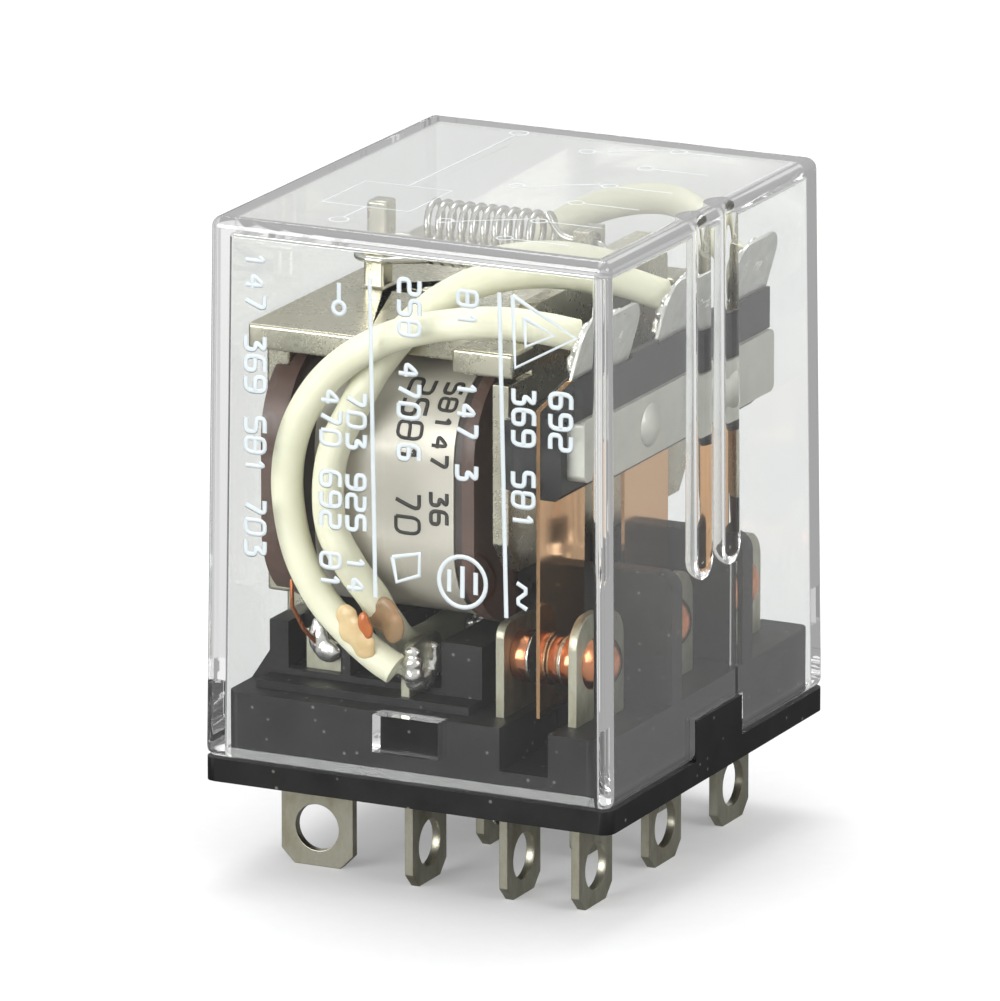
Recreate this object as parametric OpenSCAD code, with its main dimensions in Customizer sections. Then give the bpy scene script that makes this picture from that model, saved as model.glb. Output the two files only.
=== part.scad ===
// Three-pole plug-in relay under a clear cover, with eleven flat solder blades.
// Frame: the origin is the centre of the flange's underside and +Z is up. The coil lies
// towards -X, the contacts towards +X, and the three poles stand side by side along Y.

/* [Cover and flange] */
// Width across the coil end and the contact end, along X
body_x = 28; // [27.9:0.1:28.4]
// Depth across the three poles, along Y
body_y = 31.5; // [31.4:0.1:32]
// Height of the cover's top above the flange's underside
body_h = 36; // [35.8:0.1:37]
// Thickness of the flange
flange_t = 1.5; // [1.3:0.1:1.5]
// Wall thickness of the cover
cover_wall = 1.1; // [0.9:0.05:1.15]
// How far each side wall of the cover leans in over its height
cover_draft = 0.4; // [0.2:0.05:0.45]
// Width of the latch window in the front and rear walls
window_x = 4.5; // [4:0.1:5]
// Width of the notch that clears the base's side tab
notch_y = 7; // [6.5:0.1:7.4]

/* [Base] */
// Height of the floor that the contact blades stand in
floor_z = 5.7; // [5.5:0.1:5.9]
// Height of the pedestal that carries the coil
pedestal_z = 9.6; // [9.3:0.1:9.8]
// Height of the barrier walls between the poles
barrier_z = 14; // [13:0.1:14.5]
// Thickness of a barrier wall
barrier_t = 1.5; // [1.2:0.1:1.6]

/* [Terminals] */
// Distance from pole to pole
pole_pitch = 10; // [10:0.05:10.1]
// Thickness of every blade
blade_t = 0.6; // [0.5:0.05:0.6]
// Width of a contact blade
blade_w = 4.7; // [4.5:0.1:4.8]
// Width of a coil blade
coil_blade_w = 5; // [4.8:0.1:5.2]
// How far the blades reach below the flange's underside
blade_drop = 6.4; // [6:0.1:7]
// Diameter of the wire hole in a blade
wire_hole_d = 3; // [2.6:0.1:3.1]
// Depth of the wire hole's centre below the flange's underside
wire_hole_z = 3.9; // [3.7:0.1:4]
// Middle of the normally closed blades, along X
nc_x = 10.02; // [10:0.02:10.1]
// Middle of the normally open blades, along X
no_x = 5.08; // [5.04:0.02:5.1]
// Middle of the common blades, along X
com_x = -1.43; // [-1.5:0.01:-1.4]
// Middle of the coil blades, along X
coil_blade_x = -8.85; // [-8.9:0.05:-8.8]

/* [Magnet] */
// Height of the coil's axis above the flange's underside
coil_z = 18.5; // [18.4:0.05:18.6]
// Width of the taped coil, along Y
coil_w = 23; // [22:0.1:23.2]
// Height of the taped coil, along Z
coil_h = 16; // [15.6:0.1:16.2]
// Thickness of the yoke
yoke_t = 1.6; // [1.4:0.1:1.6]
// Underside of the yoke's top plate
yoke_z = 27.1; // [27:0.05:27.2]
// Thickness of the armature
armature_t = 1.1; // [0.9:0.1:1.1]

/* [Contacts] */
// Thickness of a moving spring
spring_t = 0.25; // [0.2:0.05:0.3]
// Width of a moving spring
spring_w = 6.3; // [5.8:0.1:6.4]
// Middle of the moving springs where they stand upright, along X
spring_x = 8.07; // [8.05:0.01:8.1]
// Height of the contacts' axis
contact_z = 9.2; // [9:0.1:9.4]
// Thickness of the silver facing on every contact
facing_t = 0.15; // [0.1:0.05:0.2]

/* [Leads] */
// Diameter of the sleeved leads
lead_d = 2; // [1.8:0.1:2]
// Wire diameter of the return spring
return_wire_d = 0.44; // [0.4:0.02:0.46]

/* [Hidden] */
$fn = 48;

poles = [-pole_pitch, 0, pole_pitch];

// Small gaps: parts of one body, a plug in its cover, and a blade in its slot
fit_gap = 0.05;
cover_gap = 0.15;

// Base
plug_x = body_x - 2 * cover_wall - 2 * cover_gap;
plug_y = body_y - 2 * cover_wall - 2 * cover_gap;
corner_r = 0.8;
pedestal_x0 = -11.5;
pedestal_x1 = 3.2;
pedestal_y = 22;
ledge_y = 25.8;
ledge_z = 6.2;
side_slope_z = 7.6;
side_slope_y = 7.5;
tab_trench_z = 6.6;
tab_trench_x = [-4.6, 0.4];
lead_exit_x = [-5.9, -2];
lead_exit_y = -6;
spring_trench_x = [6.1, 9.4];
spring_trench_z = 2.95;
barrier_x0 = 3.2;
barrier_y = 5.15;

// Cover
window_z = [3.3, 5.7];
notch_z = 4.25;
rib_y = [-1.3, 2.7];
rib_r = 1.35;
rib_z = 12.7;
rib_x = 12.95;
rib_back_x = 13.2;
cover_corner_r = 0.9;

// Blades
tip_chamfer = 0.9;
nc_top_z = 12.4;
no_top_z = 11.6;
com_top_z = 9.5;
coil_tab_top_z = 9.1;
coil_tab_w = 2.4;
coil_tab_x = 0.75;
coil_tab_pocket_x = [-1.35, 2.35];

// Contacts
contact_r = 1.65;
moving_contact_r = 1.5;
shank_r = 0.8;
nc_face_x = 8.66;
no_face_x = 6.6;
moving_nc_h = 0.42;
moving_no_h = 0.65;

// Magnet
yoke_x0 = -12.4;
yoke_x1 = 4.3;
yoke_ear_x = 5.8;
yoke_y = 12;
ear_y = 9;
leg_z = 11;
leg_y = 9.5;
leg_foot_y = 7;
notch_x = [-5, 1.6];
notch_depth = 2.6;
slot_x = [-8.4, -3.6];
hook_tab_x = [-10.1, -8.7];
hook_tab_w = 1.5;
hook_z = 32.1;
core_y = 14;
core_z = 7;
tenon_y = 8;
tenon_z = 4;
pole_face_x = 3.9;
flange_x = [-10.75, 2.2];
flange_wall = 0.85;
flange_over = 0.6;
flange_lip_x = -11.65;
flange_lip_gap = 0.15;
coil_x = [-9.9, 2.2];
coil_corner_r = 5.5;
tube_wall = 0.8;
tape_t = 0.3;
label_t = 0.12;
label_x = [-8, 1.55];

// Armature and what it carries
armature_x = 4.4;
armature_top_z = 26.7;
armature_low_z = 14.6;
armature_shoulder_z = 16.6;
armature_low_y = 21;
tail_y = 17.4;
tail_z = 31;
tail_lug_w = 2.4;
tail_lug_z = 33;
tail_hole_r = 0.6;
holder_y = 26.2;
bar_x = [9.6, 10.8];
bar_y = [-12.3, 13.1];
bar_z = [21.2, 25.2];
clamp_y = 5;
clamp_z = 23.2;
clamp_shank_r = 0.8;
clamp_head_r = 1.4;
clamp_head_h = 0.55;

// Moving spring: its middle line, from the free end at the contacts to the solder tab
spring_low_z = 6.2;
spring_bend = [spring_x, 25.7];
tab_bend = [10.15, 27.85];
tab_end = [11.25, 31.75];
tab_w = 6;
tab_corner_r = 1.8;

// Middle lines of the sleeved leads, from the common blades to the spring tabs
lead_path_front = [
    [-2.9, -12.45, 8.5], [-4.6, -13.15, 9.7], [-6.8, -13.3, 12.0], [-8.4, -13.3, 15.2],
    [-9.1, -13.2, 19.0], [-8.6, -13.2, 22.4], [-7.0, -13.2, 25.4], [-4.6, -13.2, 27.7],
    [-1.6, -13.2, 29.4], [1.8, -13.1, 30.4], [5.2, -12.9, 30.9], [7.9, -12.2, 30.7],
    [9.75, -11.1, 30.2]
];
lead_path_middle = [
    [-3.5, -1.0, 8.0], [-3.5, -7.4, 8.1], [-3.2, -11.4, 10.7], [-3.6, -12.45, 12.4],
    [-4.9, -12.9, 14.3], [-6.3, -12.9, 17.0], [-6.2, -12.85, 21.0], [-4.7, -12.45, 24.6],
    [-3.3, -11.2, 27.5], [-0.9, -10.3, 30.4], [1.9, -9.0, 32.2], [5.0, -6.9, 32.7],
    [7.6, -4.2, 32.0], [9.75, -1.2, 30.5]
];
lead_path_rear = [
    [-2.9, 12.45, 8.5], [-4.6, 13.1, 9.7], [-6.8, 13.2, 12.0], [-8.4, 13.2, 15.2],
    [-9.1, 13.2, 19.0], [-8.6, 13.2, 22.4], [-7.2, 13.2, 25.4], [-5.0, 13.2, 28.0],
    [-2.0, 13.1, 30.2], [1.6, 12.8, 31.6], [5.0, 12.0, 32.1], [7.6, 10.7, 31.6],
    [9.75, 9.2, 30.4]
];
lead_sides = 8;

// Enamelled tails that run from the winding down to the coil blades
lead_out_path = [[-9.5, -11.85, 12.6], [-9.3, -12.2, 11.0], [-8.7, -11.9, 9.6], [-8.2, -11.1, 8.5]];
lead_out_d = 0.3;

// Return spring
return_x = [-6.1, 2.1];
return_r = 1.42;
return_turns = 10.5;
hook_r = 1.32;
return_sides = 6;
return_steps = 8;

// ---- helpers ----------------------------------------------------------------------------

// Rounded rectangle, centred, with true arcs
module rounded_rect(w, h, r) {
    square([w - 2 * r, h], center = true);
    square([w, h - 2 * r], center = true);
    for (x = [-1, 1], y = [-1, 1])
        translate([x * (w / 2 - r), y * (h / 2 - r)]) circle(r);
}

// Extrudes a shape drawn in (Y, Z) from x0 to x1
module along_x(x0, x1)
    translate([x0, 0, 0]) rotate([90, 0, 90]) linear_extrude(x1 - x0) children();

// Extrudes a shape drawn in (X, Z) from y0 to y1
module along_y(y0, y1)
    translate([0, y1, 0]) rotate([90, 0, 0]) linear_extrude(y1 - y0) children();

// Box given by its two corners
module box(low, high)
    translate(low) cube(high - low);

// Cylinder along X, from x0 to x1
module rod_x(x0, x1, y, z, r)
    translate([x0, y, z]) rotate([0, 90, 0]) cylinder(h = x1 - x0, r = r);

// Rounded head of radius r and height h, standing on the XY plane
module dome(r, h) {
    ball_r = (r * r + h * h) / (2 * h);
    rotate_extrude()
        intersection() {
            translate([0, h - ball_r]) circle(ball_r);
            square([r + 1, h + 1]);
        }
}

// Rounded head along X, towards side (1 or -1)
module dome_x(x, y, z, r, h, side)
    translate([x, y, z]) rotate([0, side * 90, 0]) dome(r, h);

// Rounded head along Y, towards side (1 or -1)
module dome_y(x, y, z, r, h, side)
    translate([x, y, z]) rotate([-side * 90, 0, 0]) dome(r, h);

function unit(v) = v / norm(v);
function heading(p, i) = unit(p[min(i + 1, len(p) - 1)] - p[max(i - 1, 0)]);

// Side direction of each ring, carried along the path without twisting
function carried(p, u, i = 0) =
    i == len(p) ? [] :
    let (t = heading(p, i), w = unit(u - t * (u * t)))
    concat([w], carried(p, w, i + 1));

// Tube swept along a path; side is any direction across the path's start
module tube(p, d, sides, side) {
    across = carried(p, side);
    rings = [for (i = [0:len(p) - 1])
        let (u = across[i], v = cross(heading(p, i), u))
        for (k = [0:sides - 1])
            p[i] + d / 2 * (u * cos(360 * k / sides) + v * sin(360 * k / sides))];
    last = (len(p) - 1) * sides;
    walls = [for (i = [0:len(p) - 2], k = [0:sides - 1], half = [0, 1])
        let (a = i * sides + k, b = i * sides + (k + 1) % sides)
        half == 0 ? [a, b, b + sides] : [a, b + sides, a + sides]];
    polyhedron(rings, concat(
        [[for (k = [sides - 1:-1:0]) k]], walls, [[for (k = [0:sides - 1]) last + k]]), 4);
}

// ---- base and cover ---------------------------------------------------------------------

module blade_slots() {
    for (y = poles, x = [nc_x, no_x, com_x])
        box([x - blade_t / 2 - fit_gap, y - blade_w / 2 - fit_gap, -1],
            [x + blade_t / 2 + fit_gap, y + blade_w / 2 + fit_gap, floor_z + 1]);
    for (y = [-pole_pitch, pole_pitch])
        box([coil_blade_x - coil_blade_w / 2 - fit_gap, y - blade_t / 2 - fit_gap, -1],
            [coil_blade_x + coil_blade_w / 2 + fit_gap, y + blade_t / 2 + fit_gap, floor_z + 1]);
}

// One phenolic moulding: flange, plug, coil pedestal, barrier walls and side tabs
module base_moulding() {
    color([0.12, 0.12, 0.12])
    difference() {
        union() {
            linear_extrude(flange_t) rounded_rect(body_x, body_y, corner_r);
            linear_extrude(floor_z) rounded_rect(plug_x, plug_y, corner_r);
            box([pedestal_x0, -pedestal_y / 2, 0], [pedestal_x1, pedestal_y / 2, pedestal_z]);
            box([pedestal_x0, -ledge_y / 2, 0], [pedestal_x1, ledge_y / 2, ledge_z]);
            for (s = [-1, 1]) {
                // Slope from the pedestal's coil side down to the floor, beside the yoke's foot
                along_y(s > 0 ? side_slope_y : -pedestal_y / 2, s > 0 ? pedestal_y / 2 : -side_slope_y)
                    polygon([[pedestal_x0 + 1, floor_z - 1], [pedestal_x0 + 1, side_slope_z],
                        [pedestal_x0, side_slope_z], [-plug_x / 2, floor_z], [-plug_x / 2, floor_z - 1]]);
                along_y(s * barrier_y - barrier_t / 2, s * barrier_y + barrier_t / 2)
                    barrier_outline();
                box([s > 0 ? plug_x / 2 - 1 : -body_x / 2, -notch_y / 2 + cover_gap, 0],
                    [s > 0 ? body_x / 2 : 1 - plug_x / 2, notch_y / 2 - cover_gap,
                     notch_z - cover_gap]);
            }
        }
        blade_slots();
        // Trenches that the springs' free ends hang in
        for (y = poles)
            box([spring_trench_x[0], y - pole_pitch / 2 + barrier_t, spring_trench_z],
                [spring_trench_x[1], y + pole_pitch / 2 - barrier_t, floor_z + 1]);
        for (s = [-1, 1])
            box([spring_trench_x[0], s > 0 ? pole_pitch : -plug_y / 2 - 1, spring_trench_z],
                [spring_trench_x[1], s > 0 ? plug_y / 2 + 1 : -pole_pitch, floor_z + 1]);
        // Trench under the coil for the common blades' solder ends and the middle lead
        box([tab_trench_x[0], -pedestal_y / 2 - 1, tab_trench_z],
            [tab_trench_x[1], pedestal_y / 2 + 1, pedestal_z + 1]);
        box([lead_exit_x[0], -pedestal_y / 2 - 1, tab_trench_z],
            [lead_exit_x[1], lead_exit_y, pedestal_z + 1]);
        // Pockets for the coil blades' solder ends
        for (s = [-1, 1])
            box([coil_blade_x + coil_tab_pocket_x[0], s > 0 ? 8.8 : -pedestal_y / 2 - 1, tab_trench_z],
                [coil_blade_x + coil_tab_pocket_x[1], s > 0 ? pedestal_y / 2 + 1 : -8.8,
                 pedestal_z + 1]);
        // Seat of the yoke's foot
        box([pedestal_x0 - 1, -leg_foot_y - fit_gap, floor_z],
            [flange_x[0], leg_foot_y + fit_gap, pedestal_z + 1]);
        box([yoke_x0 - fit_gap, -leg_foot_y - fit_gap, floor_z - 0.01],
            [flange_x[0], leg_foot_y + fit_gap, floor_z + 1]);
    }
}

// Barrier wall in (X, Z), its outer top corner rounded
module barrier_outline() {
    r = 1.2;
    x1 = plug_x / 2;
    translate([barrier_x0, floor_z - 1]) square([x1 - barrier_x0, barrier_z - r - floor_z + 1]);
    translate([barrier_x0, floor_z]) square([x1 - r - barrier_x0, barrier_z - floor_z]);
    translate([x1 - r, barrier_z - r]) circle(r);
}

// Block whose side walls lean in by draft towards the top
module drafted(x, y, z0, z1, draft, r) {
    hull() {
        translate([0, 0, z0]) linear_extrude(0.01) rounded_rect(x, y, r, $fn = 16);
        translate([0, 0, z1 - 0.01]) linear_extrude(0.01)
            rounded_rect(x - 2 * draft, y - 2 * draft, r, $fn = 16);
    }
}

// Clear moulded cover, open underneath, with latch windows, side notches and two ribs
module cover() {
    inner_x = body_x - 2 * cover_wall;
    inner_y = body_y - 2 * cover_wall;
    color([0.85, 0.9, 0.9, 0.3])
    difference() {
        union() {
            difference() {
                drafted(body_x, body_y, flange_t, body_h, cover_draft, cover_corner_r);
                drafted(inner_x, inner_y, flange_t - 1, body_h - cover_wall, cover_draft, 0.4);
            }
            for (y = rib_y)
                intersection() {
                    translate([rib_x, y, rib_z])
                        cylinder(h = body_h - cover_wall - rib_z + 0.3, r = rib_r);
                    box([rib_x - 2 * rib_r, -body_y / 2, 0], [rib_back_x, body_y / 2, body_h]);
                }
        }
        box([-window_x / 2, -body_y, window_z[0]], [window_x / 2, body_y, window_z[1]]);
        box([-body_x, -notch_y / 2, 0], [body_x, notch_y / 2, notch_z]);
    }
}

// ---- terminals --------------------------------------------------------------------------

// Blade outline in (width, Z) with chamfered tip, wire hole and rounded upper corners
module blade_outline(w, top_z, top_r) {
    difference() {
        union() {
            polygon([[-w / 2, tip_chamfer - blade_drop], [tip_chamfer - w / 2, -blade_drop],
                [w / 2 - tip_chamfer, -blade_drop], [w / 2, tip_chamfer - blade_drop],
                [w / 2, top_z - top_r], [-w / 2, top_z - top_r]]);
            translate([top_r - w / 2, 0]) square([w - 2 * top_r, top_z]);
            for (s = [-1, 1]) translate([s * (w / 2 - top_r), top_z - top_r]) circle(top_r);
        }
        translate([0, -wire_hole_z]) circle(wire_hole_d / 2);
    }
}

module contact_blade(x, y, top_z, top_r, hole_r) {
    color([0.62, 0.61, 0.54])
    difference() {
        translate([0, y, 0]) along_x(x - blade_t / 2, x + blade_t / 2)
            blade_outline(blade_w, top_z, top_r);
        if (hole_r > 0) rod_x(x - 1, x + 1, y, contact_z, hole_r);
    }
}

module nc_terminal(y) contact_blade(nc_x, y, nc_top_z, 1.9, shank_r);
module no_terminal(y) contact_blade(no_x, y, no_top_z, 0.9, shank_r);
module com_terminal(y) contact_blade(com_x, y, com_top_z, 1.2, 0);

// Coil blade: a wide blade below, a narrow solder tab above
module coil_terminal(y) {
    color([0.62, 0.61, 0.54])
    translate([coil_blade_x, 0, 0]) along_y(y - blade_t / 2, y + blade_t / 2) {
        blade_outline(coil_blade_w, floor_z, 0.5);
        translate([coil_tab_x - coil_tab_w / 2, floor_z - 1])
            square([coil_tab_w, coil_tab_top_z - floor_z + 1]);
    }
}

// ---- contacts ---------------------------------------------------------------------------

nc_blade_face = nc_x - blade_t / 2;
no_blade_face = no_x + blade_t / 2;

module nc_contact_rivets() {
    color([0.8, 0.45, 0.3])
    for (y = poles) {
        rod_x(nc_face_x + facing_t, nc_blade_face, y, contact_z, contact_r);
        rod_x(nc_blade_face - 0.1, nc_blade_face + blade_t + 0.1, y, contact_z, shank_r);
        dome_x(nc_blade_face + blade_t, y, contact_z, contact_r, 0.8, 1);
    }
}

module nc_contact_facings() {
    color([0.85, 0.85, 0.82])
    for (y = poles) rod_x(nc_face_x, nc_face_x + facing_t, y, contact_z, contact_r);
}

module no_contact_rivets() {
    color([0.8, 0.45, 0.3])
    for (y = poles) {
        rod_x(no_blade_face, no_face_x - facing_t, y, contact_z, contact_r);
        rod_x(no_blade_face - blade_t - 0.1, no_blade_face + 0.1, y, contact_z, shank_r);
        dome_x(no_blade_face - blade_t, y, contact_z, 1.5, 0.8, -1);
    }
}

module no_contact_facings() {
    color([0.85, 0.85, 0.82])
    for (y = poles) rod_x(no_face_x - facing_t, no_face_x, y, contact_z, contact_r);
}

module moving_contact_rivets() {
    color([0.8, 0.45, 0.3])
    for (y = poles)
        rod_x(spring_x - spring_t / 2 - moving_no_h + facing_t,
              spring_x + spring_t / 2 + moving_nc_h - facing_t, y, contact_z, moving_contact_r);
}

module moving_contact_facings() {
    color([0.85, 0.85, 0.82])
    for (y = poles) {
        x0 = spring_x - spring_t / 2 - moving_no_h;
        x1 = spring_x + spring_t / 2 + moving_nc_h;
        rod_x(x0, x0 + facing_t, y, contact_z, moving_contact_r);
        rod_x(x1 - facing_t, x1, y, contact_z, moving_contact_r);
    }
}

// ---- magnet -----------------------------------------------------------------------------

// Bent steel yoke: top plate with ears, lead notches and a lanced spring tab, and a left leg
module yoke() {
    color([0.75, 0.74, 0.7])
    difference() {
        union() {
            translate([0, 0, yoke_z]) linear_extrude(yoke_t) {
                translate([yoke_x0, -yoke_y]) square([yoke_x1 - yoke_x0, 2 * yoke_y]);
                for (s = [-1, 1])
                    translate([yoke_x1 - 1, s > 0 ? ear_y : -yoke_y])
                        square([yoke_ear_x - yoke_x1 + 1, yoke_y - ear_y]);
            }
            along_x(yoke_x0, yoke_x0 + yoke_t) {
                translate([-leg_y, leg_z]) square([2 * leg_y, yoke_z - leg_z + 0.5]);
                translate([-leg_foot_y, floor_z]) square([2 * leg_foot_y, leg_z - floor_z + 1]);
            }
            along_x(hook_tab_x[0], hook_tab_x[1])
                translate([-hook_tab_w / 2, yoke_z])
                    square([hook_tab_w, hook_z + 1.2 - yoke_z]);
        }
        for (s = [-1, 1])
            box([notch_x[0], s > 0 ? yoke_y - notch_depth : -yoke_y - 1, yoke_z - 1],
                [notch_x[1], s > 0 ? yoke_y + 1 : notch_depth - yoke_y, yoke_z + yoke_t + 1]);
        box([slot_x[0], -hook_tab_w / 2, yoke_z - 1], [slot_x[1], hook_tab_w / 2, yoke_z + yoke_t + 1]);
        box([yoke_x0 - 1, -tenon_y / 2, coil_z - tenon_z / 2],
            [yoke_x0 + yoke_t + 1, tenon_y / 2, coil_z + tenon_z / 2]);
    }
}

// Flat soft-iron core: a bar with a tenon staked into the yoke's leg
module core() {
    color([0.7, 0.69, 0.66]) {
        box([yoke_x0 + yoke_t, -core_y / 2, coil_z - core_z / 2],
            [pole_face_x, core_y / 2, coil_z + core_z / 2]);
        box([yoke_x0, -tenon_y / 2, coil_z - tenon_z / 2],
            [yoke_x0 + yoke_t + 1, tenon_y / 2, coil_z + tenon_z / 2]);
    }
}

module bobbin_flange() rounded_rect(coil_w + flange_over, coil_h + flange_over, coil_corner_r);

// Two flanges on a rectangular tube; lips on the left one lie beside the yoke's leg
module bobbin() {
    color([0.25, 0.15, 0.12])
    difference() {
        translate([0, 0, coil_z]) {
            for (x = flange_x) along_x(x, x + flange_wall) bobbin_flange();
            along_x(flange_lip_x, flange_x[0] + flange_wall)
                difference() {
                    bobbin_flange();
                    square([2 * (leg_y + flange_lip_gap), 2 * coil_h], center = true);
                }
            along_x(flange_x[0], flange_x[1] + flange_wall)
                square([core_y + 2 * tube_wall, core_z + 2 * tube_wall], center = true);
        }
        box([-20, -core_y / 2, coil_z - core_z / 2], [20, core_y / 2, coil_z + core_z / 2]);
    }
}

// Ring around the coil's axis: outer rounded outline less inner one
module coil_ring(x0, x1, grow, inset)
    translate([0, 0, coil_z]) along_x(x0, x1)
        difference() {
            rounded_rect(coil_w + 2 * grow, coil_h + 2 * grow, coil_corner_r + grow);
            rounded_rect(coil_w - 2 * inset, coil_h - 2 * inset, coil_corner_r - inset);
        }

module coil_winding() {
    color([0.55, 0.25, 0.12])
    translate([0, 0, coil_z]) along_x(coil_x[0], coil_x[1])
        difference() {
            rounded_rect(coil_w - 2 * tape_t, coil_h - 2 * tape_t, coil_corner_r - tape_t);
            square([core_y + 2 * tube_wall, core_z + 2 * tube_wall], center = true);
        }
}

module coil_tape() {
    color([0.27, 0.22, 0.2]) coil_ring(coil_x[0], coil_x[1], 0, tape_t);
}

// Paper label on the front half of the coil
module coil_label() {
    color([0.75, 0.73, 0.68])
    intersection() {
        coil_ring(label_x[0], label_x[1], label_t, 0);
        box([-20, -20, 0], [20, -4, 40]);
    }
}

module coil_lead_outs() {
    color([0.6, 0.3, 0.15])
    for (s = [-1, 1])
        tube([for (p = lead_out_path) [p[0], -s * p[1], p[2]]], lead_out_d, 6, [1, 0, 0]);
}

// ---- solder, varnish and leads ----------------------------------------------------------

module coil_terminal_solder() {
    color([0.78, 0.78, 0.76])
    for (s = [-1, 1])
        dome_y(coil_blade_x + coil_tab_x, s * (pole_pitch + blade_t / 2), coil_tab_top_z - 1.3, 1.2, 0.8, s);
}

module com_terminal_solder() {
    color([0.78, 0.78, 0.76])
    for (y = poles, s = [-1, 1])
        dome_x(com_x + s * blade_t / 2, y, com_top_z - 1.6, 1.3, 0.7, s);
}

// Drop of amber varnish between the front leads, on the edge of the pedestal
module varnish_drop() {
    color([0.75, 0.55, 0.3, 0.8]) translate([-1.6, -11.6, 10.3]) sphere(0.6);
}

module lead_front() {
    color([0.9, 0.9, 0.82]) tube(lead_path_front, lead_d, lead_sides, [0, 0, 1]);
}

module lead_middle() {
    color([0.9, 0.9, 0.82]) tube(lead_path_middle, lead_d, lead_sides, [0, 0, 1]);
}

module lead_rear() {
    color([0.9, 0.9, 0.82]) tube(lead_path_rear, lead_d, lead_sides, [0, 0, 1]);
}

// Extension spring: a hook round the yoke's tab, the coils, and a hook through the armature's tail
module return_spring() {
    steps = return_turns * return_steps;
    length = return_x[1] - return_x[0];
    low_z = hook_z - return_r;
    tail_x = armature_x + armature_t + 0.6;
    tab_mid = (hook_tab_x[0] + hook_tab_x[1]) / 2;
    hook = [for (a = [100:32:260]) [tab_mid + hook_r * cos(a), hook_r * sin(a), low_z]];
    coils = [for (i = [0:steps])
        let (a = 360 * i / return_steps)
        [return_x[0] + length * i / steps, return_r * sin(a), hook_z - return_r * cos(a)]];
    end = [[return_x[1] + 0.5, 0, hook_z + 0.7], [return_x[1] + 1.1, 0, hook_z],
        [tail_x - 0.4, 0, hook_z], [tail_x, 0, hook_z - 0.4], [tail_x, 0, hook_z - 1.1]];
    color([0.8, 0.8, 0.78])
        tube(concat([[-8.0, hook_r, low_z]], hook, [[-8.3, -1.2, low_z], [-7.1, -0.5, low_z]],
            coils, end), return_wire_d, return_sides, [0, 0, 1]);
}

// ---- armature and moving springs --------------------------------------------------------

// Flat armature: it pivots on the yoke's end, its tail passes up between the yoke's ears
module armature_plate() {
    color([0.72, 0.7, 0.66])
    difference() {
        along_x(armature_x, armature_x + armature_t) {
            polygon([[-yoke_y, armature_shoulder_z], [-armature_low_y / 2, armature_low_z],
                [armature_low_y / 2, armature_low_z], [yoke_y, armature_shoulder_z],
                [yoke_y, armature_top_z], [-yoke_y, armature_top_z]]);
            translate([0, tail_z - 3]) rounded_rect(tail_y, 6, 0.9);
            translate([-tail_lug_w / 2, tail_z - 1]) square([tail_lug_w, tail_lug_z - tail_z + 1]);
        }
        rod_x(armature_x - 1, armature_x + armature_t + 1, 0, hook_z, tail_hole_r);
        for (s = [-1, 1])
            rod_x(armature_x - 1, armature_x + armature_t + 1, s * clamp_y, clamp_z, clamp_shank_r);
    }
}

// Normal of a bent strip at point i, long enough to keep its thickness at a bend
function mitre(p, i) =
    let (a = unit(p[max(i, 1)] - p[max(i, 1) - 1]),
         b = unit(p[min(i + 1, len(p) - 1)] - p[min(i + 1, len(p) - 1) - 1]),
         n = unit([-a[1] - b[1], a[0] + b[0]]))
    n / (n * [-a[1], a[0]]);

// Side view of a moving spring in (X, Z)
module spring_profile(t) {
    p = [[spring_x, spring_low_z], spring_bend, tab_bend, tab_end];
    last = len(p) - 1;
    polygon(concat([for (i = [0:last]) p[i] - mitre(p, i) * t / 2],
                   [for (i = [last:-1:0]) p[i] + mitre(p, i) * t / 2]));
}

// One bronze moving spring: contact end below, solder tab above
module moving_spring(y) {
    color([0.82, 0.6, 0.42])
    translate([0, y, 0])
    difference() {
        intersection() {
            along_y(-spring_w / 2, spring_w / 2) spring_profile(spring_t);
            along_x(0, 20) {
                translate([-spring_w / 2, 0]) square([spring_w, tab_bend[1]]);
                translate([0, 26.5]) square([tab_w, 2 * (tab_end[1] - 26.5 - tab_corner_r)],
                    center = true);
                translate([0, tab_end[1] - 4]) rounded_rect(tab_w, 8.2, tab_corner_r);
            }
        }
        rod_x(spring_x - 1, spring_x + 1, 0, contact_z, moving_contact_r);
    }
}

// Moulded block that grips the three springs and is riveted to the armature
module contact_holder() {
    x0 = armature_x + armature_t;
    color([0.1, 0.1, 0.1])
    difference() {
        along_y(-holder_y / 2, holder_y / 2)
            polygon([[x0, 20.6], [7.4, 20.1], [9.2, 20.1], [bar_x[0], 20.5],
                [bar_x[0], bar_z[1]], [10.5, bar_z[1]], [10.5, tab_bend[1] + 0.3],
                [tab_bend[0] - 0.1, tab_bend[1] + 0.3], [spring_bend[0] - 0.6, 25.4], [x0, 24.8]]);
        for (y = poles)
            translate([0, y, 0]) along_y(-spring_w / 2, spring_w / 2) {
                spring_profile(spring_t);
                // Open above the sloping run, so that the tab stands free
                polygon([[spring_bend[0] - spring_t / 2, spring_bend[1]],
                    [tab_bend[0] - spring_t / 2, tab_bend[1] + 2],
                    [spring_bend[0] - 4, tab_bend[1] + 2], [spring_bend[0] - 4, spring_bend[1]]]);
                polygon([tab_bend, [tab_bend[0] + 1, tab_bend[1]],
                    [tab_bend[0] + 1, tab_bend[1] + 1], [tab_bend[0], tab_bend[1] + 1]]);
            }
        for (s = [-1, 1])
            rod_x(x0 - 1, bar_x[1] + 1, s * clamp_y, clamp_z, clamp_shank_r);
    }
}

module clamp_bar() {
    color([0.66, 0.66, 0.62])
    difference() {
        translate([0, (bar_y[0] + bar_y[1]) / 2, (bar_z[0] + bar_z[1]) / 2])
            along_x(bar_x[0], bar_x[1])
                rounded_rect(bar_y[1] - bar_y[0], bar_z[1] - bar_z[0], 0.5);
        for (s = [-1, 1]) rod_x(bar_x[0] - 1, bar_x[1] + 1, s * clamp_y, clamp_z, clamp_shank_r);
    }
}

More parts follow.
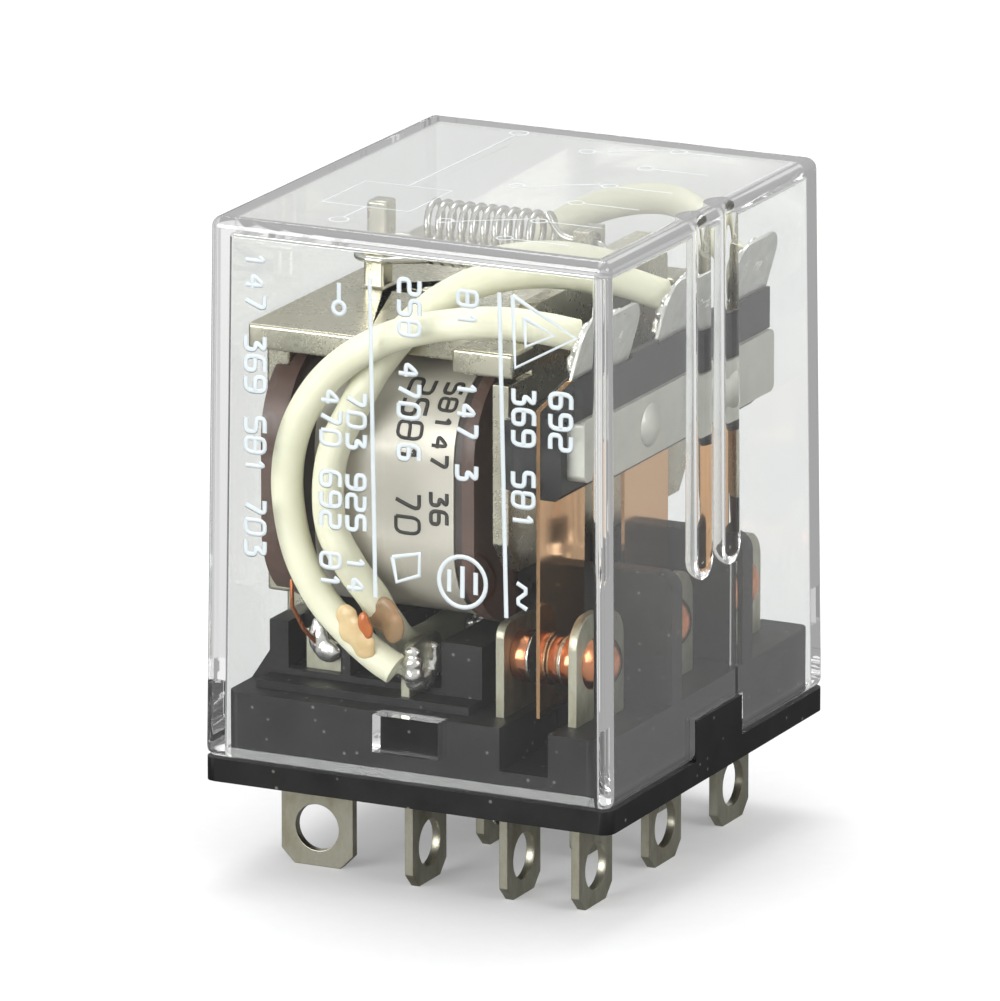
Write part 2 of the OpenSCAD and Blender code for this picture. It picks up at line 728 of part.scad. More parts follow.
// Two rivets that hold bar, block and armature together
module clamp_rivets() {
    color([0.7, 0.7, 0.66])
    for (s = [-1, 1]) {
        rod_x(armature_x, bar_x[1] + 0.1, s * clamp_y, clamp_z, clamp_shank_r);
        dome_x(bar_x[1], s * clamp_y, clamp_z, clamp_head_r, clamp_head_h, 1);
    }
}

// Solder where each lead ends on its spring tab
module spring_tab_solder() {
    lean = atan2(tab_end[0] - tab_bend[0], tab_end[1] - tab_bend[1]);
    mid = (tab_bend + tab_end) / 2;
    color([0.78, 0.78, 0.76])
    for (y = poles)
        translate([mid[0], y, mid[1]]) rotate([0, lean, 0])
            dome_x(-spring_t / 2, 0, 0.4, 1.6, 0.5, -1);
}

base_moulding();
cover();
nc_terminal(poles[0]);  // nc_terminal_front
nc_terminal(poles[1]);  // nc_terminal_middle
nc_terminal(poles[2]);  // nc_terminal_rear
no_terminal(poles[0]);  // no_terminal_front
no_terminal(poles[1]);  // no_terminal_middle
no_terminal(poles[2]);  // no_terminal_rear
com_terminal(poles[0]);  // com_terminal_front
com_terminal(poles[1]);  // com_terminal_middle
com_terminal(poles[2]);  // com_terminal_rear
coil_terminal(poles[0]);  // coil_terminal_front
coil_terminal(poles[2]);  // coil_terminal_rear
nc_contact_rivets();
nc_contact_facings();
no_contact_rivets();
no_contact_facings();
yoke();
core();
bobbin();
coil_winding();
coil_tape();
coil_label();
coil_lead_outs();
coil_terminal_solder();
com_terminal_solder();
varnish_drop();
lead_front();
lead_middle();
lead_rear();
return_spring();
armature_plate();
contact_holder();
clamp_bar();
clamp_rivets();
moving_spring(poles[0]);  // moving_spring_front
moving_spring(poles[1]);  // moving_spring_middle
moving_spring(poles[2]);  // moving_spring_rear
moving_contact_rivets();
moving_contact_facings();
spring_tab_solder();
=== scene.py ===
import math

import bpy
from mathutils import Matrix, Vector


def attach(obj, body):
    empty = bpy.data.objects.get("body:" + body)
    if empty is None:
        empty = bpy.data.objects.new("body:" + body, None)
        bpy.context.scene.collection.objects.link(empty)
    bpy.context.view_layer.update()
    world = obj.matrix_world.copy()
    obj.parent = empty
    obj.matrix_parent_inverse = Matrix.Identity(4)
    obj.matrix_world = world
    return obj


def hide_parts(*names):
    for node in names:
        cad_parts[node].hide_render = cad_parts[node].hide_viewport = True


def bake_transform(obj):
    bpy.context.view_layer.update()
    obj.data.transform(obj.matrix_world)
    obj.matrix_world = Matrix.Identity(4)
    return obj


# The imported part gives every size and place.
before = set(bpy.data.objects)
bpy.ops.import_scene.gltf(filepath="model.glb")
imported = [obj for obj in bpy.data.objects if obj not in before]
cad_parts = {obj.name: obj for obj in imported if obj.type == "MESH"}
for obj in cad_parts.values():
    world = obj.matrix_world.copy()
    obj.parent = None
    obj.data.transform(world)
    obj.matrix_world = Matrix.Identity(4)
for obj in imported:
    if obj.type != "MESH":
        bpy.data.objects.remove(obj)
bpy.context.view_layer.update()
mm = 0.001


# ---- stage ------------------------------------------------------------------------------
# The relay stands on its blade tips on a white table. A long lens looks down on the corner
# between its front face and its contact end.
def deselect():
    bpy.ops.object.select_all(action="DESELECT")


table_z = -6.4 * mm
deselect()
bpy.ops.mesh.primitive_grid_add(x_subdivisions=8, y_subdivisions=8, size=6, location=(0, 0, table_z))
table = bpy.context.object
table.name = "table_top"


def first_sight(nodes, links):
    """1 where a ray comes straight from the lens, also through clear pieces, and 0 elsewhere."""
    path = nodes.new("ShaderNodeLightPath")
    bounced = nodes.new("ShaderNodeMath")
    bounced.operation = "ADD"
    bounced.use_clamp = True
    links.new(path.outputs["Glossy Depth"], bounced.inputs[0])
    links.new(path.outputs["Diffuse Depth"], bounced.inputs[1])
    unbounced = nodes.new("ShaderNodeMath")
    unbounced.operation = "SUBTRACT"
    unbounced.inputs[0].default_value = 1
    links.new(bounced.outputs["Value"], unbounced.inputs[1])
    through = nodes.new("ShaderNodeMath")
    through.operation = "MULTIPLY_ADD"
    through.use_clamp = True
    links.new(path.outputs["Is Transmission Ray"], through.inputs[0])
    links.new(unbounced.outputs["Value"], through.inputs[1])
    links.new(path.outputs["Is Camera Ray"], through.inputs[2])
    return through.outputs["Value"], path


def ranged(nodes, links, value, from_low, from_high, to_low, to_high):
    """A straight-line remap of a value, held at both ends."""
    remap = nodes.new("ShaderNodeMapRange")
    for socket, number in (("From Min", from_low), ("From Max", from_high), ("To Min", to_low),
                           ("To Max", to_high)):
        remap.inputs[socket].default_value = number
    links.new(value, remap.inputs["Value"])
    return remap.outputs["Result"]


paper = bpy.data.materials.new("white_paper")
paper.use_nodes = True
paper.cycles.emission_sampling = "NONE"
paper_nodes, paper_links = paper.node_tree.nodes, paper.node_tree.links
paper_shader = paper_nodes["Principled BSDF"]
paper_shader.inputs["Roughness"].default_value = 0.9
paper_shader.inputs["Specular IOR Level"].default_value = 0.1
paper_shader.inputs["Emission Color"].default_value = (1, 1, 1, 1)
paper_shader.inputs["Emission Strength"].default_value = 0.25
paper_place = paper_nodes.new("ShaderNodeTexCoord")
paper_fibre = paper_nodes.new("ShaderNodeTexNoise")
paper_fibre.inputs["Scale"].default_value = 900
paper_tone = paper_nodes.new("ShaderNodeValToRGB")
paper_tone.color_ramp.elements[0].color = (0.57, 0.57, 0.58, 1)
paper_tone.color_ramp.elements[1].color = (0.6, 0.6, 0.605, 1)
paper_links.new(paper_place.outputs["Object"], paper_fibre.inputs["Vector"])
paper_links.new(paper_fibre.outputs["Fac"], paper_tone.inputs["Fac"])
paper_links.new(paper_tone.outputs["Color"], paper_shader.inputs["Base Color"])
# Mirrored in the relay, the table is dimmer, more so on the coil side, so that dark pieces stay dark
paper_axes = paper_nodes.new("ShaderNodeSeparateXYZ")
paper_links.new(paper_place.outputs["Object"], paper_axes.inputs["Vector"])
outside_tone = ranged(paper_nodes, paper_links, paper_axes.outputs["X"], -0.1, 0.12, 0.03, 0.36)
inside_tone = ranged(paper_nodes, paper_links, paper_axes.outputs["X"], -0.1, 0.12, 0.2, 0.95)
paper_sight, paper_path = first_sight(paper_nodes, paper_links)
mirrored_tone = paper_nodes.new("ShaderNodeMix")
paper_links.new(ranged(paper_nodes, paper_links, paper_path.outputs["Transmission Depth"], 0, 1, 0, 1),
                mirrored_tone.inputs["Factor"])
paper_links.new(outside_tone, mirrored_tone.inputs["A"])
paper_links.new(inside_tone, mirrored_tone.inputs["B"])
paper_glow = paper_nodes.new("ShaderNodeEmission")
paper_links.new(mirrored_tone.outputs["Result"], paper_glow.inputs["Strength"])
paper_either = paper_nodes.new("ShaderNodeMixShader")
paper_links.new(paper_sight, paper_either.inputs["Fac"])
paper_links.new(paper_glow.outputs["Emission"], paper_either.inputs[1])
paper_links.new(paper_shader.outputs["BSDF"], paper_either.inputs[2])
paper_links.new(paper_either.outputs["Shader"], paper_nodes["Material Output"].inputs["Surface"])
table.data.materials.append(paper)

view_turn, view_rise, view_far = math.radians(26.08), math.radians(15.22), 0.762
aim = Vector((-1.267, 0.169, 15.602)) * mm
towards_lens = Vector((
    math.sin(view_turn) * math.cos(view_rise),
    -math.cos(view_turn) * math.cos(view_rise),
    math.sin(view_rise),
))
lens = bpy.data.cameras.new("lens")
lens.sensor_fit = "HORIZONTAL"
lens.sensor_width = 36
lens.lens = 439.2
lens.clip_start, lens.clip_end = 0.05, 20
camera = bpy.data.objects.new("camera", lens)
bpy.context.collection.objects.link(camera)
camera.location = aim + towards_lens * view_far
camera.rotation_euler = towards_lens.to_track_quat("Z", "Y").to_euler()
bpy.context.scene.camera = camera
bpy.context.scene.view_settings.view_transform = "Standard"
cycles = bpy.context.scene.cycles
cycles.max_bounces, cycles.transmission_bounces, cycles.glossy_bounces = 20, 20, 8

# The room is pure white behind the relay, and a softer grey in what the relay mirrors
room = bpy.data.worlds.new("white_room")
bpy.context.scene.world = room
room.use_nodes = True
room_nodes, room_links = room.node_tree.nodes, room.node_tree.links
room_way = room_nodes.new("ShaderNodeTexCoord")
room_axes = room_nodes.new("ShaderNodeSeparateXYZ")
room_links.new(room_way.outputs["Generated"], room_axes.inputs["Vector"])
room_height = ranged(room_nodes, room_links, room_axes.outputs["Z"], -0.2, 0.8, 0.35, 1.0)
room_sight, room_path = first_sight(room_nodes, room_links)
room_tone = room_nodes.new("ShaderNodeMix")
room_links.new(room_sight, room_tone.inputs["Factor"])
room_links.new(room_height, room_tone.inputs["A"])
room_tone.inputs["B"].default_value = 1.0
room_links.new(room_tone.outputs["Result"], room_nodes["Background"].inputs["Strength"])
room_nodes["Background"].inputs["Color"].default_value = (1, 1, 1, 1)


def softbox(name, place, width, height, watts):
    """A soft panel lamp that faces the relay's middle."""
    panel = bpy.data.lights.new(name, "AREA")
    panel.shape = "RECTANGLE"
    panel.size, panel.size_y = width, height
    panel.energy = watts
    lamp = bpy.data.objects.new(name, panel)
    bpy.context.collection.objects.link(lamp)
    lamp.location = place
    facing = Vector(place) - Vector((0, 0, 0.015))
    lamp.rotation_euler = facing.to_track_quat("Z", "Y").to_euler()


softbox("key_softbox", (-0.2, -0.45, 0.12), 0.36, 0.3, 2.2)
softbox("fill_softbox", (0.5, -0.15, 0.25), 0.3, 0.3, 1.4)
softbox("top_softbox", (-0.1, 0.2, 0.55), 0.35, 0.25, 1.6)


# ---- base moulding ------------------------------------------------------------------------
# A black thermoset moulding: flange, plug, coil pedestal and barrier walls in one piece. Its
# edges are slightly rounded by the mould and its faces have a fine dull grain.
def mottle_group():
    """Uneven tone, gloss and height over a surface, from two sizes of noise and pale flecks."""
    group = bpy.data.node_groups.new("mottle", "ShaderNodeTree")
    sockets = (
        ("Color", "NodeSocketColor"), ("Patch Color", "NodeSocketColor"),
        ("Patches", "NodeSocketFloat"), ("Patch Scale", "NodeSocketFloat"),
        ("Grain Scale", "NodeSocketFloat"), ("Gloss Low", "NodeSocketFloat"),
        ("Gloss High", "NodeSocketFloat"), ("Stretch", "NodeSocketVector"),
        ("Flecks", "NodeSocketFloat"),
    )
    for name, kind in sockets:
        group.interface.new_socket(name, in_out="INPUT", socket_type=kind)
    for name, kind in (("Color", "NodeSocketColor"), ("Roughness", "NodeSocketFloat"),
                       ("Height", "NodeSocketFloat")):
        group.interface.new_socket(name, in_out="OUTPUT", socket_type=kind)
    nodes, links = group.nodes, group.links
    given, out = nodes.new("NodeGroupInput"), nodes.new("NodeGroupOutput")
    place, along = nodes.new("ShaderNodeTexCoord"), nodes.new("ShaderNodeMapping")
    links.new(place.outputs["Object"], along.inputs["Vector"])
    links.new(given.outputs["Stretch"], along.inputs["Scale"])
    patch, grain = nodes.new("ShaderNodeTexNoise"), nodes.new("ShaderNodeTexNoise")
    patch.inputs["Detail"].default_value = 5
    patch.inputs["Roughness"].default_value = 0.6
    grain.inputs["Detail"].default_value = 3
    links.new(along.outputs["Vector"], patch.inputs["Vector"])
    links.new(along.outputs["Vector"], grain.inputs["Vector"])
    links.new(given.outputs["Patch Scale"], patch.inputs["Scale"])
    links.new(given.outputs["Grain Scale"], grain.inputs["Scale"])
    spread = nodes.new("ShaderNodeMapRange")
    spread.inputs["From Min"].default_value = 0.35
    spread.inputs["From Max"].default_value = 0.68
    links.new(patch.outputs["Fac"], spread.inputs["Value"])
    amount = nodes.new("ShaderNodeMath")
    amount.operation = "MULTIPLY"
    links.new(spread.outputs["Result"], amount.inputs[0])
    links.new(given.outputs["Patches"], amount.inputs[1])
    tint = nodes.new("ShaderNodeMix")
    tint.data_type = "RGBA"
    links.new(amount.outputs["Value"], tint.inputs["Factor"])
    links.new(given.outputs["Color"], tint.inputs["A"])
    links.new(given.outputs["Patch Color"], tint.inputs["B"])
    fleck, fleck_near = nodes.new("ShaderNodeTexVoronoi"), nodes.new("ShaderNodeMapRange")
    fleck.inputs["Scale"].default_value = 1 / (1.1 * mm)
    links.new(place.outputs["Object"], fleck.inputs["Vector"])
    fleck_near.inputs["From Min"].default_value = 0.13
    fleck_near.inputs["From Max"].default_value = 0.05
    links.new(fleck.outputs["Distance"], fleck_near.inputs["Value"])
    fleck_amount = nodes.new("ShaderNodeMath")
    fleck_amount.operation = "MULTIPLY"
    links.new(fleck_near.outputs["Result"], fleck_amount.inputs[0])
    links.new(given.outputs["Flecks"], fleck_amount.inputs[1])
    flecked = nodes.new("ShaderNodeMix")
    flecked.data_type = "RGBA"
    flecked.inputs["B"].default_value = (0.3, 0.3, 0.28, 1)
    links.new(fleck_amount.outputs["Value"], flecked.inputs["Factor"])
    links.new(tint.outputs["Result"], flecked.inputs["A"])
    links.new(flecked.outputs["Result"], out.inputs["Color"])
    both = nodes.new("ShaderNodeMath")
    both.operation = "MULTIPLY_ADD"
    both.inputs[1].default_value = 0.5
    half = nodes.new("ShaderNodeMath")
    half.operation = "MULTIPLY"
    half.inputs[1].default_value = 0.5
    links.new(spread.outputs["Result"], half.inputs[0])
    links.new(grain.outputs["Fac"], both.inputs[0])
    links.new(half.outputs["Value"], both.inputs[2])
    gloss = nodes.new("ShaderNodeMapRange")
    links.new(both.outputs["Value"], gloss.inputs["Value"])
    links.new(given.outputs["Gloss Low"], gloss.inputs["To Min"])
    links.new(given.outputs["Gloss High"], gloss.inputs["To Max"])
    links.new(gloss.outputs["Result"], out.inputs["Roughness"])
    links.new(grain.outputs["Fac"], out.inputs["Height"])
    return group


mottle = mottle_group()


def finish(name, color, patch_color, patches=0.5, patch_mm=2.0, grain_mm=0.15, gloss=(0.4, 0.6),
           relief_mm=0.004, stretch=(1, 1, 1), metallic=0.0, flecks=0.0, **sockets):
    """A surface finish with uneven tone, gloss and relief. Gloss is its roughness, low and high."""
    material = bpy.data.materials.new(name)
    material.use_nodes = True
    nodes, links = material.node_tree.nodes, material.node_tree.links
    shader = nodes["Principled BSDF"]
    uneven = nodes.new("ShaderNodeGroup")
    uneven.node_tree = mottle
    for socket, value in (
        ("Color", (*color, 1)), ("Patch Color", (*patch_color, 1)), ("Patches", patches),
        ("Patch Scale", 1 / (patch_mm * mm)), ("Grain Scale", 1 / (grain_mm * mm)),
        ("Gloss Low", gloss[0]), ("Gloss High", gloss[1]), ("Stretch", stretch), ("Flecks", flecks),
    ):
        uneven.inputs[socket].default_value = value
    relief = nodes.new("ShaderNodeBump")
    relief.inputs["Distance"].default_value = relief_mm * mm
    relief.inputs["Strength"].default_value = 1
    links.new(uneven.outputs["Color"], shader.inputs["Base Color"])
    links.new(uneven.outputs["Roughness"], shader.inputs["Roughness"])
    links.new(uneven.outputs["Height"], relief.inputs["Height"])
    links.new(relief.outputs["Normal"], shader.inputs["Normal"])
    shader.inputs["Metallic"].default_value = metallic
    for socket, value in sockets.items():
        shader.inputs[socket.replace("_", " ")].default_value = value
    return material


def cover_with(piece, material):
    piece.data.materials.clear()
    piece.data.materials.append(material)


def shade_soft(piece, angle):
    """Smooth shading that keeps the flat faces flat beside their rounded edges."""
    bpy.context.view_layer.objects.active = piece
    piece.select_set(True)
    bpy.ops.object.shade_smooth_by_angle(angle=math.radians(angle))
    weighing = piece.modifiers.new("weighing", "WEIGHTED_NORMAL")
    weighing.keep_sharp = True
    weighing.weight = 100
    bpy.ops.object.modifier_apply(modifier="weighing")


def broken_edges(node, body, edge_mm, material, turns=2):
    """A copy of a hard piece with its sharp edges rounded, in place of the plain solid."""
    deselect()
    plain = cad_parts[node]
    piece = plain.copy()
    piece.data = plain.data.copy()
    piece.name = node + "_finished"
    bpy.context.collection.objects.link(piece)
    piece.parent = None
    bpy.context.view_layer.objects.active = piece
    piece.select_set(True)
    bpy.ops.mesh.customdata_custom_splitnormals_clear()
    bpy.ops.object.mode_set(mode="EDIT")
    bpy.ops.mesh.select_all(action="SELECT")
    bpy.ops.mesh.remove_doubles(threshold=1e-6)
    bpy.ops.mesh.dissolve_limited(angle_limit=math.radians(0.5))
    bpy.ops.object.mode_set(mode="OBJECT")
    if edge_mm:
        rounding = piece.modifiers.new("rounding", "BEVEL")
        rounding.width = edge_mm * mm
        rounding.segments = turns
        rounding.limit_method = "ANGLE"
        rounding.angle_limit = math.radians(35)
        bpy.ops.object.modifier_apply(modifier="rounding")
    shade_soft(piece, 38)
    cover_with(piece, material)
    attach(piece, body)
    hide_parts(node)
    return piece


phenolic = finish("black_thermoset", (0.006, 0.0058, 0.0058), (0.017, 0.0165, 0.016), patches=0.7,
                  patch_mm=3, grain_mm=0.12, gloss=(0.4, 0.6), relief_mm=0.002, flecks=0.5,
                  Specular_IOR_Level=0.28)
broken_edges("base_moulding", "base", 0.1, phenolic)


# ---- terminals ----------------------------------------------------------------------------
# Eleven flat blades stamped from brass sheet and tinned. Handling has left the tin mottled
# with dull yellowish stains, and the stamped edges are slightly rounded.
tinned = finish("tinned_brass", (0.5, 0.49, 0.4), (0.25, 0.23, 0.16), patches=0.8, patch_mm=1.6,
                grain_mm=0.09, gloss=(0.28, 0.5), relief_mm=0.006, stretch=(1, 1, 0.5),
                metallic=0.9)
for row in ("nc", "no", "com"):
    for pole in ("front", "middle", "rear"):
        broken_edges(f"{row}_terminal_{pole}", "base", 0.06, tinned)
for pole in ("front", "rear"):
    broken_edges(f"coil_terminal_{pole}", "base", 0.06, tinned)


# ---- contacts -----------------------------------------------------------------------------
# Copper rivets with a thin silver face. The fixed ones are staked through the blades and the
# moving ones through the springs.
copper = finish("contact_copper", (0.78, 0.33, 0.17), (0.5, 0.17, 0.08), patches=0.6, patch_mm=0.8,
                grain_mm=0.06, gloss=(0.12, 0.3), relief_mm=0.004, metallic=1.0)
silver = finish("contact_silver", (0.8, 0.79, 0.76), (0.6, 0.56, 0.5), patches=0.5, patch_mm=0.6,
                grain_mm=0.05, gloss=(0.15, 0.32), relief_mm=0.003, metallic=1.0)
for kind, body in (("nc_contact", "base"), ("no_contact", "base"), ("moving_contact", "armature")):
    broken_edges(kind + "_rivets", body, 0.05, copper)
    broken_edges(kind + "_facings", body, 0.04, silver)


# ---- yoke and core ------------------------------------------------------------------------
# The yoke is bent from thick soft iron and nickel-plated bright. The flat core is staked into
# its leg.
nickel = finish("bright_nickel", (0.62, 0.59, 0.48), (0.47, 0.45, 0.36), patches=0.6, patch_mm=3,
                grain_mm=0.2, gloss=(0.2, 0.36), relief_mm=0.002, metallic=1.0)
broken_edges("yoke", "base", 0.22, nickel, 3)
broken_edges("core", "base", 0.1, nickel)


# ---- coil ---------------------------------------------------------------------------------
# Enamelled wire wound on a brown moulded bobbin, wrapped in dark tape, with a silvery film
# label stuck round its front.
bobbin_brown = finish("bobbin_brown", (0.085, 0.05, 0.04), (0.13, 0.075, 0.058), patches=0.6,
                      patch_mm=2.5, grain_mm=0.2, gloss=(0.3, 0.5), relief_mm=0.004)
enamel = finish("copper_enamel", (0.3, 0.09, 0.03), (0.42, 0.15, 0.05), patches=0.5, patch_mm=1,
                grain_mm=0.12, gloss=(0.2, 0.35), relief_mm=0.02, stretch=(4, 0.3, 0.3),
                metallic=0.6)
tape = finish("dark_tape", (0.042, 0.03, 0.027), (0.075, 0.058, 0.05), patches=0.6, patch_mm=3,
              grain_mm=0.25, gloss=(0.35, 0.55), relief_mm=0.01, stretch=(1, 0.25, 1))
film = finish("silver_film", (0.56, 0.53, 0.47), (0.47, 0.44, 0.38), patches=0.5, patch_mm=5,
              grain_mm=0.3, gloss=(0.3, 0.45), relief_mm=0.002, metallic=0.3)
broken_edges("bobbin", "base", 0.1, bobbin_brown)
broken_edges("coil_winding", "base", 0, enamel)
broken_edges("coil_tape", "base", 0.04, tape)
broken_edges("coil_label", "base", 0, film)


# ---- armature and what it carries -----------------------------------------------------------
# A flat nickel-plated armature, a black moulded block, and a grey bar that two rivets pull up
# against the three springs.
black_moulding = finish("black_moulding", (0.012, 0.012, 0.012), (0.03, 0.03, 0.029), patches=0.5,
                        patch_mm=2, grain_mm=0.1, gloss=(0.3, 0.5), relief_mm=0.004)
grey_plate = finish("grey_plate", (0.56, 0.56, 0.51), (0.44, 0.44, 0.4), patches=0.5, patch_mm=2.5,
                    grain_mm=0.12, gloss=(0.42, 0.6), relief_mm=0.006, metallic=0.7)
broken_edges("armature_plate", "armature", 0.12, nickel, 3)
broken_edges("contact_holder", "armature", 0.12, black_moulding)
broken_edges("clamp_bar", "armature", 0.12, grey_plate)
broken_edges("clamp_rivets", "armature", 0.06, grey_plate)


# ---- moving springs ---------------------------------------------------------------------------
# Three strips of phosphor bronze, polished like a mirror, with the contact at the lower end
# and a tinned solder tab at the upper end.
bronze = finish("phosphor_bronze", (0.9, 0.55, 0.3), (0.82, 0.47, 0.24), patches=0.5, patch_mm=3,
                grain_mm=0.4, gloss=(0.06, 0.16), relief_mm=0.002, stretch=(1, 1, 0.2),
                metallic=1.0)
tab_tin = finish("tab_tin", (0.68, 0.68, 0.65), (0.5, 0.5, 0.47), patches=0.6, patch_mm=0.9,
                 grain_mm=0.12, gloss=(0.22, 0.45), relief_mm=0.006, metallic=0.85)
tab_foot_z = 28.2 * mm
for pole in ("front", "middle", "rear"):
    moving_spring = broken_edges(f"moving_spring_{pole}", "armature", 0.03, bronze)
    moving_spring.data.materials.append(tab_tin)
    for face in moving_spring.data.polygons:
        if face.center.z > tab_foot_z:
            face.material_index = 1


# ---- solder and varnish ---------------------------------------------------------------------
# Bright hand-made solder joints, and amber varnish that has run down the front leads.
def blobs(name, balls, material, body, node=None, rough_mm=0.1, rough_size_mm=0.7):
    """Balls of (place, three radii) melted into one uneven lump, in millimetres."""
    deselect()
    made = []
    for place, radii in balls:
        bpy.ops.mesh.primitive_ico_sphere_add(subdivisions=4, radius=mm, location=Vector(place) * mm)
        ball = bpy.context.object
        ball.scale = radii
        ball.name = name
        bpy.ops.object.transform_apply(location=True, rotation=True, scale=True)
        made.append(ball)
    for ball in made:
        ball.select_set(True)
    lump = made[0]
    bpy.context.view_layer.objects.active = lump
    bpy.ops.object.join()
    melt = lump.modifiers.new("melt", "REMESH")
    melt.mode, melt.voxel_size = "VOXEL", 0.09 * mm
    bpy.ops.object.modifier_apply(modifier="melt")
    flow = lump.modifiers.new("flow", "SMOOTH")
    flow.factor, flow.iterations = 0.6, 6
    bpy.ops.object.modifier_apply(modifier="flow")
    if rough_mm:
        clouds = bpy.data.textures.new(name, "CLOUDS")
        clouds.noise_scale = rough_size_mm * mm
        swell = lump.modifiers.new("swell", "DISPLACE")
        swell.texture, swell.strength, swell.texture_coords = clouds, rough_mm * mm, "LOCAL"
        bpy.ops.object.modifier_apply(modifier="swell")
    bpy.ops.object.shade_smooth()
    cover_with(lump, material)
    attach(lump, body)
    if node:
        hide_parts(node)
    return lump


solder = finish("bright_solder", (0.9, 0.89, 0.86), (0.75, 0.74, 0.71), patches=0.5, patch_mm=0.9,
                grain_mm=0.2, gloss=(0.12, 0.36), relief_mm=0.004, metallic=0.95)
blade_x = -1.43
joint = []
for pole_y in (-10, 0, 10):
    # A rim of solder round the eye where the lead's strands pass through the blade
    for y, z, r in ((-2.25, 9.1, 0.4), (-2.25, 8.4, 0.55), (-2.2, 7.7, 0.62), (-1.9, 7.1, 0.62),
                    (-1.2, 6.85, 0.55), (-0.4, 6.95, 0.55), (0.35, 7.4, 0.65), (0.6, 8.1, 0.6),
                    (0.5, 8.7, 0.4)):
        joint.append(((blade_x + 0.45, pole_y + y, z), (0.8 * r + 0.25, r, r)))
    joint.append(((blade_x - 0.4, pole_y - 1.9, 8.0), (0.6, 0.7, 0.9)))
blobs("common_joints", joint, solder, "base", "com_terminal_solder", 0.12)

coil_joint = []
for side in (-1, 1):
    coil_joint += [
        ((-8.15, side * 10.75, 8.75), (0.75, 0.5, 1.15)),
        ((-8.3, side * 10.7, 9.5), (0.4, 0.35, 0.6)),
        ((-7.5, side * 10.8, 8.0), (0.95, 0.55, 0.75)),
    ]
blobs("coil_joints", coil_joint, solder, "base", "coil_terminal_solder", 0.1)

tab_joint = []
for pole_y in (-10, 0, 10):
    tab_joint += [
        ((10.35, pole_y - 0.8, 30.2), (0.4, 1.5, 0.9)),
        ((10.55, pole_y + 0.6, 30.4), (0.35, 1.3, 1.2)),
        ((10.2, pole_y - 1.9, 29.6), (0.45, 0.8, 0.5)),
        ((10.0, pole_y - 2.2, 28.6), (0.35, 0.6, 0.8)),
        ((10.75, pole_y + 1.6, 31.0), (0.3, 0.9, 0.5)),
    ]
blobs("tab_joints", tab_joint, solder, "armature", "spring_tab_solder", 0.3, 0.5)

varnish = finish("amber_varnish", (0.62, 0.47, 0.26), (0.5, 0.33, 0.15), patches=0.7, patch_mm=1,
                 grain_mm=0.25, gloss=(0.12, 0.3), relief_mm=0.004)
deep_varnish = finish("deep_varnish", (0.45, 0.13, 0.03), (0.33, 0.08, 0.02), patches=0.6, patch_mm=0.6,
                      grain_mm=0.2, gloss=(0.08, 0.2), relief_mm=0.004)
brown_varnish = finish("brown_varnish", (0.26, 0.17, 0.09), (0.36, 0.2, 0.1), patches=0.8, patch_mm=0.8,
                       grain_mm=0.2, gloss=(0.1, 0.25), relief_mm=0.006)
run = [((-4.6, -14.05, 11.4), (0.75, 0.28, 0.8)), ((-4.2, -14.1, 10.6), (0.95, 0.28, 1.0)),
       ((-3.5, -14.1, 9.9), (0.9, 0.26, 0.75)), ((-3.35, -14.05, 9.3), (0.75, 0.24, 0.5))]
blobs("varnish_run", run, varnish, "base", None, 0.12, 0.9)
thick = [((-3.35, -14.2, 11.2), (0.42, 0.22, 0.72)), ((-3.05, -14.2, 10.7), (0.36, 0.2, 0.6))]
blobs("varnish_core", thick, deep_varnish, "base", None, 0)
pool = [((-2.6, -12.95, 11.5), (1.1, 0.25, 1.15)), ((-1.95, -12.95, 10.8), (0.8, 0.25, 1.1)),
        ((-3.2, -13.0, 12.1), (0.7, 0.22, 0.5))]
blobs("varnish_pool", pool, brown_varnish, "base", "varnish_drop", 0.12, 0.9)


# ---- leads --------------------------------------------------------------------------------------
# Three flexible wires in cream silicone sleeving. Each runs from a common blade, round the
# front or rear of the coil and over the yoke, to the tab of its moving spring. The winding's own
# fine enamelled tails run down to the coil blades.
def smooth_path(points, steps=8):
    """Points along a smooth curve through the given ones, in metres."""
    p = [Vector(q) * mm for q in points]
    p = [2 * p[0] - p[1], *p, 2 * p[-1] - p[-2]]
    path = []
    for a, b, c, d in zip(p, p[1:], p[2:], p[3:]):
        for i in range(steps):
            t = i / steps
            path.append(0.5 * (2 * b + (c - a) * t + (2 * a - 5 * b + 4 * c - d) * t * t
                               + (3 * b - a - 3 * c + d) * t ** 3))
    path.append(p[-2])
    return path


def swept_wire(name, path, radius, sides=6):
    """A round wire along a path, as a mesh."""
    deselect()
    line = bpy.data.curves.new(name, "CURVE")
    line.dimensions = "3D"
    line.bevel_depth = radius
    line.bevel_resolution = sides
    line.use_fill_caps = True
    spline = line.splines.new("POLY")
    spline.points.add(len(path) - 1)
    for point, place in zip(spline.points, path):
        point.co = (*place, 1)
    wire = bpy.data.objects.new(name, line)
    bpy.context.collection.objects.link(wire)
    bpy.context.view_layer.objects.active = wire
    wire.select_set(True)
    bpy.ops.object.convert(target="MESH")
    wire = bpy.context.object
    bpy.ops.object.mode_set(mode="EDIT")
    bpy.ops.mesh.select_all(action="SELECT")
    bpy.ops.mesh.remove_doubles(threshold=1e-6)
    bpy.ops.mesh.normals_make_consistent(inside=False)
    bpy.ops.object.mode_set(mode="OBJECT")
    bpy.ops.object.shade_smooth_by_angle(angle=math.radians(50))
    return wire


